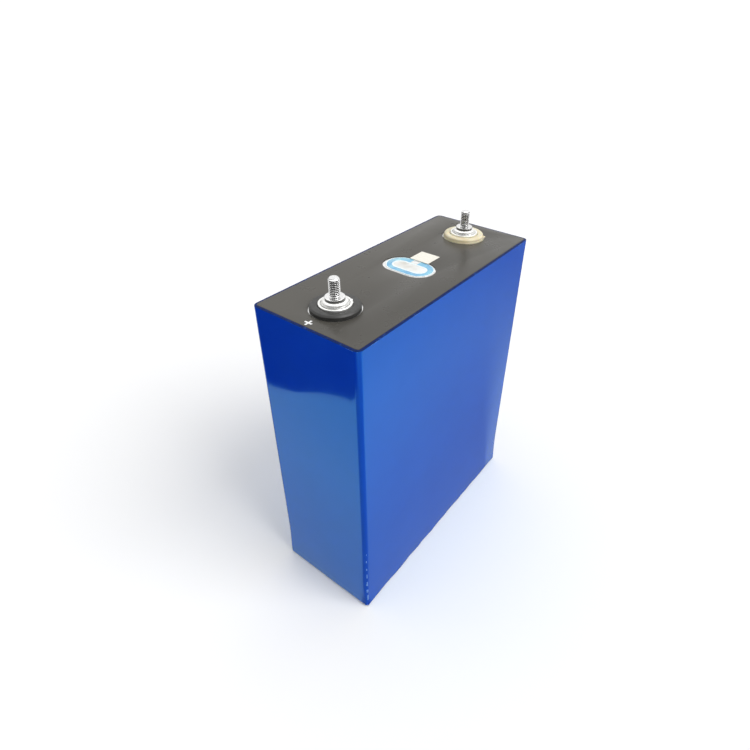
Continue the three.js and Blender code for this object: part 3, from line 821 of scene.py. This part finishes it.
# ------------------------------------------------------------------ terminals, heights from the cover sheet
def ring_profile(side):
    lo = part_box(side + "_terminal_insulator")[0].z / MM - Z_TOP
    R = 13.45
    if side == "positive":
        prof = [(4.25, lo), (R - 0.15, lo), (R, lo + 0.15), (R, 1.45)]
        prof += arc(R - 0.35, 1.45, 0.35, 10, 55, 4)
        prof += [(R - 0.75, 2.42), (R - 0.95, 2.55), (R - 1.25, 2.60), (11.0, 2.55), (9.45, 2.56), (9.25, 2.50), (9.2, 2.35), (9.2, 0.8), (4.25, 0.8)]
    else:
        prof = [(4.25, lo), (R - 0.1, lo), (R, lo + 0.15), (R, 0.42), (R - 0.08, 0.55), (R - 0.34, 0.62), (R - 0.40, 0.72), (R - 0.36, 0.90)]
        prof += arc(R - 2.0, 1.0, 1.66, 4, 90, 12, rz=1.56)
        prof += [(10.9, 2.58), (10.3, 2.58), (9.75, 2.54), (9.42, 2.44), (9.25, 2.25), (9.2, 2.05), (9.2, 0.8), (4.25, 0.8)]
    return prof


def insulator(side, at, material):
    black = side == "positive"

    def warp(r, z, a):
        if not black and z < 0.9 and r > 13:
            # Gate mark left by moulding.
            d = (a - math.radians(-61) + math.pi) % TAU - math.pi
            r += 1.25 * math.exp(-(d / 0.060) ** 2) * (1 if 0.1 < z else 0.0)
        if r > 12.4:
            r += 0.03 * math.sin(3 * a + 1.0)
        return r, z
    v, f = lathe(ring_profile(side), 160, warp)
    make(side + "_insulator_ring", v, f, material, (side + "_terminal_insulator",), at, sharp=38)


def disc(side, at):
    def warp(r, z, a):
        if z > 3.0 and r > 7.6:
            z += 0.05 * noise.noise(Vector((3 * math.cos(a), 3 * math.sin(a), r)))
            r += 0.06 * noise.noise(Vector((2 * math.cos(a), 2 * math.sin(a), 4)))
        if side == "positive" and z > 1.5 and r > 8:   # a knocked rim
            for at_deg, w, push, lift in ((-31, 0.10, 0.42, 0.12), (-41, 0.035, -0.45, -0.25), (-48, 0.07, 0.30, 0.10), (-22, 0.03, -0.30, -0.2)):
                d = (a - math.radians(at_deg) + math.pi) % TAU - math.pi
                g = math.exp(-(d / w) ** 2)
                r += push * g
                z += lift * g
        return r, z
    prof = [(0, 2.2), (4.1, 2.2), (4.1, 0.9), (8.75, 0.9), (8.9, 1.05), (8.9, 3.05)]
    prof += arc(8.65, 3.05, 0.25, 10, 90, 4)
    prof += [(8.2, 3.31), (7.85, 3.29), (7.72, 3.22), (7.66, 3.10), (7.3, 3.07), (7.15, 3.10), (0, 3.10)]
    v, f = lathe(prof, 128, warp)
    # The disc groove takes the darker recess finish, painted shade.
    make(side + "_disc", v, f, "turned_aluminium", (side + "_terminal_disc",), at, sharp=40,
         second=("recess_shade", lambda c: 7.14 < math.hypot(c.x, c.y) < 7.70 and c.z > 3.0))


def base(side, at):
    def warp(r, z, a):
        if z < 4.0 and r > 6.9:
            # Weld bead: overlapping scallops round the foot.
            r += 0.07 * abs(math.sin(22 * a)) + 0.05 * noise.noise(Vector((4 * math.cos(a), 4 * math.sin(a), z)))
        if z > 4.2 and r > 5:
            z += 0.03 * noise.noise(Vector((2 * math.cos(a), 2 * math.sin(a), 9)))
        return r, z
    prof = [(0, 3.2), (6.95, 3.2), (7.12, 3.28), (7.15, 3.45), (7.0, 3.62), (6.95, 3.8), (6.88, 4.25)]
    prof += arc(6.28, 4.30, 0.60, 0, 55, 5)
    prof += [(6.35, 4.98), (5.9, 5.18), (5.55, 5.26), (5.2, 5.28), (5.05, 5.20), (4.9, 5.22), (2.65, 5.3), (2.65, 3.9), (0, 3.9)]
    v, f = lathe(prof, 176, warp)
    # The gap under the stud flange takes the darker recess finish, painted shade.
    make(side + "_base", v, f, "turned_aluminium", (side + "_stud_base",), at, sharp=40,
         second=("recess_shade", lambda c: math.hypot(c.x, c.y) < 5.15 and c.z > 5.0))


def stud(side, at, turn):
    """Shank, neck, flange and a real helical M6 thread in one body."""
    segs = 56
    pitch, crest, root = 1.0, 2.98, 2.45
    z0, z1 = 6.95, 17.2
    lower = [(0, 4.0), (2.5, 4.0), (2.5, 5.42), (4.2, 5.42), (4.2, 5.92), (4.3, 6.02), (5.15, 6.08), (5.3, 6.22), (5.3, 6.62)]
    lower += arc(5.15, 6.62, 0.15, 20, 90, 3, rz=0.18)
    lower += [(4.4, 6.80), (3.35, 6.80), (3.1, 6.82), (2.75, 6.88)]

    def thread(z, a):
        t = ((z - turn * pitch) / pitch - a / TAU) % 1.0
        if t < 0.49:
            k = 0.0
        elif t < 0.63:
            k = (t - 0.49) / 0.14
        elif t < 0.76:
            k = 1.0
        else:
            k = (1.0 - t) / 0.24
        r = root + (crest - root) * k
        run_in = max(0.0, min(1.0, (z - z0) / 0.9))
        r = root + 0.10 + (r - root - 0.10) * run_in if run_in < 1 else r
        tip = z1 - z
        if tip < 0.75:                                 # chamfered tip
            r = min(r, 2.25 + tip * 0.95)
        return r

    rows_z = []
    z = z0
    while z < z1 - 0.001:
        rows_z.append(z)
        z += 1.0 / 14
    rows_z.append(z1)
    verts, rows = [], []
    for r, zz in lower:
        if r == 0:
            rows.append([len(verts)])
            verts.append(Vector((0, 0, zz * MM)))
            continue
        row = []
        for i in range(segs):
            a = TAU * i / segs
            row.append(len(verts))
            verts.append(Vector((r * math.cos(a), r * math.sin(a), zz)) * MM)
        rows.append(row)
    for zz in rows_z:
        row = []
        for i in range(segs):
            a = TAU * i / segs
            r = thread(zz, a) + 0.012 * noise.noise(Vector((9 * math.cos(a), 9 * math.sin(a), zz * 3)))
            row.append(len(verts))
            verts.append(Vector((r * math.cos(a), r * math.sin(a), zz)) * MM)
        rows.append(row)
    rows.append([len(verts)])
    verts.append(Vector((0, 0, (z1 + 0.0) * MM)))
    faces = []
    for p, q in zip(rows, rows[1:]):
        for i in range(segs):
            j = (i + 1) % segs
            face = list(dict.fromkeys([p[i % len(p)], p[j % len(p)], q[j % len(q)], q[i % len(q)]]))
            if len(face) > 2:
                faces.append(face)
    # Under the flange the stud takes the darker recess finish, painted shade.
    make(side + "_stud_threaded", verts, faces, "bright_stud", (side + "_m6_stud",), at, sharp=28,
         second=[("recess_shade", lambda c: c.z < 6.1 and math.hypot(c.x, c.y) < 5.2),
                 # The thread roots take a near-black finish, painted shade.
                 ("thread_root_shade", lambda c: 7.3 < c.z < 16.6 and math.hypot(c.x, c.y) < 2.60)])


for side, at, material, slot, turn in (("positive", POS, "black_plastic", "black_plastic", 0.15),
                                       ("negative", NEG, "natural_plastic", "natural_plastic", 0.6)):
    insulator(side, at, material)
    disc(side, at)
    base(side, at)
    stud(side, at, turn)


# ------------------------------------------------------------------ finishes of the CAD nodes that stay
KEPT = {
    "aluminium_can": "drawn_aluminium", "lid_plate": "lid_aluminium",
    "fill_hole_plug": "black_rubber", "fill_hole_cap": "lid_aluminium",
    "positive_rivet_post": "post_aluminium", "negative_rivet_post": "copper",
    "positive_sealing_ring": "black_rubber", "negative_sealing_ring": "black_rubber",
    "positive_lower_insulator": "white_plastic", "negative_lower_insulator": "white_plastic",
    "positive_current_collector": "post_aluminium", "negative_current_collector": "copper",
    "positive_tab_a": "aluminium_foil", "positive_tab_b": "aluminium_foil",
    "negative_tab_a": "copper_foil", "negative_tab_b": "copper_foil",
    "jelly_roll_a": "electrode_roll", "jelly_roll_b": "electrode_roll",
    "jelly_roll_tape_a": "green_tape", "jelly_roll_tape_b": "green_tape",
    "inner_insulating_bag": "clear_film", "inner_support_plate": "white_plastic",
}
for node, material in KEPT.items():
    ob = NODES[node]
    ob.data.materials.clear()
    ob.data.materials.append(MATS[material])

# ------------------------------------------------------------------ studio
scene = bpy.context.scene
scene.view_settings.view_transform = "Standard"
scene.view_settings.look = "None"

cam_data = bpy.data.cameras.new("camera")
cam = bpy.data.objects.new("camera", cam_data)
scene.collection.objects.link(cam)
right = Vector((0.58359, -0.81154, 0.02872))
down = Vector((-0.45346, -0.35502, -0.81752))
forward = Vector((0.67365, 0.46407, -0.57518))
back = (-forward).normalized()
right = (right - back * right.dot(back)).normalized()
up = back.cross(right)
rot = Matrix((right, up, back)).transposed()
cam.matrix_world = Matrix.Translation(Vector((-235.274, -167.859, 338.626)) * MM) @ rot.to_4x4()
cam_data.sensor_width = 36.0
cam_data.lens = 25.511
cam_data.shift_x = -0.05045
cam_data.shift_y = -0.01564
cam_data.clip_start, cam_data.clip_end = 0.01, 200.0
scene.camera = cam

world = bpy.data.worlds.new("studio")
scene.world = world
world.use_nodes = True
wt = world.node_tree
wt.nodes.clear()
w_out = wt.nodes.new("ShaderNodeOutputWorld")


def back_light(strength):
    n = wt.nodes.new("ShaderNodeBackground")
    n.inputs["Color"].default_value = (1, 1, 1, 1)
    n.inputs["Strength"].default_value = strength
    return n.outputs[0]


w_lp = wt.nodes.new("ShaderNodeLightPath")
w_m1 = wt.nodes.new("ShaderNodeMixShader")
w_m2 = wt.nodes.new("ShaderNodeMixShader")
wt.links.new(w_lp.outputs["Is Glossy Ray"], w_m1.inputs[0])
wt.links.new(back_light(0.36), w_m1.inputs[1])
wt.links.new(back_light(0.88), w_m1.inputs[2])
wt.links.new(w_lp.outputs["Is Camera Ray"], w_m2.inputs[0])
wt.links.new(w_m1.outputs[0], w_m2.inputs[1])
wt.links.new(back_light(1.1), w_m2.inputs[2])
wt.links.new(w_m2.outputs[0], w_out.inputs["Surface"])


def sun(name, azimuth, elevation, strength, angle):
    """A wide soft source far away; azimuth is the side it shines from, degrees from +X."""
    d = bpy.data.lights.new(name, "SUN")
    d.energy = strength
    d.angle = math.radians(angle)
    ob = bpy.data.objects.new(name, d)
    scene.collection.objects.link(ob)
    a, e = math.radians(azimuth), math.radians(elevation)
    way = Vector((math.cos(a) * math.cos(e), math.sin(a) * math.cos(e), math.sin(e)))
    ob.rotation_mode = "QUATERNION"
    ob.rotation_quaternion = way.to_track_quat("Z", "Y")
    return ob


sun("overhead", 60, 82, 1.05, 60)
sun("key", -80, 47, 1.95, 40)


def stage_material(name, colour, rough=0.9, emit=None):
    s = bpy.data.materials.new(name)
    s.use_nodes = True
    t = s.node_tree
    p = t.nodes["Principled BSDF"]
    p.inputs["Base Color"].default_value = (*colour, 1)
    p.inputs["Roughness"].default_value = rough
    p.inputs["Specular IOR Level"].default_value = 0.0
    if emit is not None:
        t.nodes.remove(p)
        e = t.nodes.new("ShaderNodeEmission")
        e.inputs["Color"].default_value = (*emit, 1)
        t.links.new(e.outputs[0], t.nodes["Material Output"].inputs["Surface"])
    return s


def stage_mesh(name, pts, z, material, card=True, heights=None):
    me = bpy.data.meshes.new(name)
    me.from_pydata([(x * MM, y * MM, (heights[k] if heights else z) * MM) for k, (x, y) in enumerate(pts)], [], [list(range(len(pts)))])
    me.materials.append(material)
    ob = bpy.data.objects.new(name, me)
    scene.collection.objects.link(ob)
    if card:
        ob.visible_camera = False
        ob.visible_diffuse = False
        ob.visible_shadow = False
        ob.visible_transmission = False
        ob.visible_volume_scatter = False
    return ob


# Floor.
stage_mesh("floor", [(-30000, -30000), (30000, -30000), (30000, 30000), (-30000, 30000)], -0.02,
           stage_material("pale_floor", (0.92, 0.92, 0.92)), card=False)

# Cards seen only in reflections: grey ground, a dark flag beyond the short face, a dark wedge in front.
def card_colour(name, v):
    return stage_material(name, (0, 0, 0), emit=(v, v, v))


def sky_card(name, az0, az1, el0, el1, value, dist=3000, n=10):
    """A curved card seen from the cell between two azimuths and two elevations."""
    pts, faces = [], []
    for k in range(n + 1):
        az = math.radians(az0 + (az1 - az0) * k / n)
        for el in (math.radians(el0), math.radians(el1)):
            pts.append(Vector((dist * math.cos(az), dist * math.sin(az), 200 + dist * math.tan(el))) * MM)
    for k in range(n):
        faces.append([2 * k, 2 * k + 2, 2 * k + 3, 2 * k + 1])
    me = bpy.data.meshes.new(name)
    me.from_pydata(pts, [], faces)
    me.materials.append(card_colour(name + "_tone", value))
    ob = bpy.data.objects.new(name, me)
    scene.collection.objects.link(ob)
    ob.visible_camera = ob.visible_diffuse = ob.visible_shadow = False
    ob.visible_transmission = ob.visible_volume_scatter = False


class Field:
    """Strength of a glowing ground card as a formula of x and y in mm, so that its patches can fade softly."""

    def __init__(self, name):
        self.m = bpy.data.materials.new(name)
        self.m.use_nodes = True
        self.t = self.m.node_tree
        self.t.nodes.remove(self.t.nodes["Principled BSDF"])
        g = self.t.nodes.new("ShaderNodeNewGeometry")
        sep = self.t.nodes.new("ShaderNodeSeparateXYZ")
        self.t.links.new(g.outputs["Position"], sep.inputs[0])
        self.x = self.op("MULTIPLY", sep.outputs[0], 1000.0)
        self.y = self.op("MULTIPLY", sep.outputs[1], 1000.0)

    def put(self, value, socket):
        if isinstance(value, (int, float)):
            socket.default_value = value
        else:
            self.t.links.new(value, socket)

    def op(self, kind, a, b=0.0):
        n = self.t.nodes.new("ShaderNodeMath")
        n.operation = kind
        self.put(a, n.inputs[0])
        self.put(b, n.inputs[1])
        return n.outputs[0]

    def step(self, value, lo, hi, smooth=True):
        """0 at lo, 1 at hi."""
        n = self.t.nodes.new("ShaderNodeMapRange")
        n.interpolation_type = "SMOOTHSTEP" if smooth else "LINEAR"
        self.put(value, n.inputs["Value"])
        n.inputs["From Min"].default_value = lo
        n.inputs["From Max"].default_value = hi
        return n.outputs[0]

    def mix(self, a, b, t):
        return self.op("ADD", self.op("MULTIPLY", a, self.op("SUBTRACT", 1.0, t)), self.op("MULTIPLY", b, t))

    def reach(self, cx, cy):
        return self.op("SQRT", self.op("ADD", self.op("POWER", self.op("ABSOLUTE", self.op("SUBTRACT", self.x, cx)), 2.0),
                                       self.op("POWER", self.op("ABSOLUTE", self.op("SUBTRACT", self.y, cy)), 2.0)))

    def toward(self, cx, cy, azimuth, lo, hi):
        """1 in the direction azimuth from (cx, cy), 0 beyond the angle lo, full within the angle hi, degrees."""
        a = math.radians(azimuth)
        along = self.op("ADD", self.op("MULTIPLY", self.op("SUBTRACT", self.x, cx), math.cos(a)),
                        self.op("MULTIPLY", self.op("SUBTRACT", self.y, cy), math.sin(a)))
        cosine = self.op("DIVIDE", along, self.op("ADD", self.reach(cx, cy), 0.01))
        return self.step(cosine, math.cos(math.radians(lo)), math.cos(math.radians(hi)))

    def ground(self):
        """The whole grey ground round the cell."""
        away = self.reach(0, 0)
        base = self.mix(0.58, 0.88, self.step(away, 700, 5000))
        left = self.mix(0.47, 0.60, self.step(self.x, -90, -170))
        v = self.mix(base, left, self.op("MULTIPLY", self.step(self.x, -80, -90), self.step(away, 1500, 700)))
        side = self.mix(0.37, 0.68, self.step(self.y, -40, -190))
        side = self.op("MULTIPLY", side, self.mix(1.0, 0.42, self.step(self.x, -40, 500, False)))
        where = self.op("MULTIPLY", self.step(self.y, -34, -37), self.step(self.x, -92, -84))
        where = self.op("MULTIPLY", where, self.step(self.x, 950, 560))
        where = self.op("MULTIPLY", where, self.step(self.y, -750, -290))
        v = self.mix(v, side, where)
        bright = self.op("MULTIPLY", self.toward(68, -34, -9, 22, 9), self.step(self.reach(66, -33), 380, 130))
        v = self.mix(v, 0.56, bright)
        near = self.op("MULTIPLY", self.toward(-84, -33, 218, 75, 55), self.step(self.reach(-84, -33), 460, 230))
        v = self.mix(v, 0.17, near)
        corner = self.op("MULTIPLY", self.toward(-84, 33, 78, 46, 28), self.step(self.reach(-84, 33), 400, 200))
        return self.mix(v, 0.30, corner)

    def done(self, strength):
        e = self.t.nodes.new("ShaderNodeEmission")
        self.t.links.new(strength, e.inputs["Strength"])
        self.t.links.new(e.outputs[0], self.t.nodes["Material Output"].inputs["Surface"])
        return self.m


f = Field("ground_tone")
stage_mesh("card_ground", [(-30000, -30000), (30000, -30000), (30000, 30000), (-30000, 30000)], 0.5, f.done(f.ground()))

# Dark patch beyond the narrow face, with one crisp edge, fading out on its other sides.
f = Field("far_tone")
dark = f.op("MAXIMUM", f.step(f.reach(-262, 232), 420, 215),
            f.op("MULTIPLY", f.step(f.reach(-84, -33), 600, 430), f.toward(-84, -33, 168, 30, 26)))
stage_mesh("card_far", [(-190, 285), (-205, 215), (-209.8, 199.3), (-213.3, 185.3), (-219.2, 168.3), (-226.6, 158.7), (-234.0, 149.1),
                        (-239.7, 133.8), (-242.2, 122.7), (-243.6, 113.2), (-262, 100), (-292, 84), (-305, 40), (-318, -10), (-318, -95),
                        (-900, -200), (-900, 900), (-150, 900)],
           1.0, f.done(f.mix(f.ground(), 0.005, dark)))
sky_card("card_behind", 150, 285, -4, 44, 0.04)
sky_card("card_high", -5, 80, 38, 62, 1.7)
stage_mesh("card_overhead", [(1500 * math.cos(TAU * k / 24), 1500 * math.sin(TAU * k / 24)) for k in range(24)], 3200,
           card_colour("overhead_tone", 1.8))
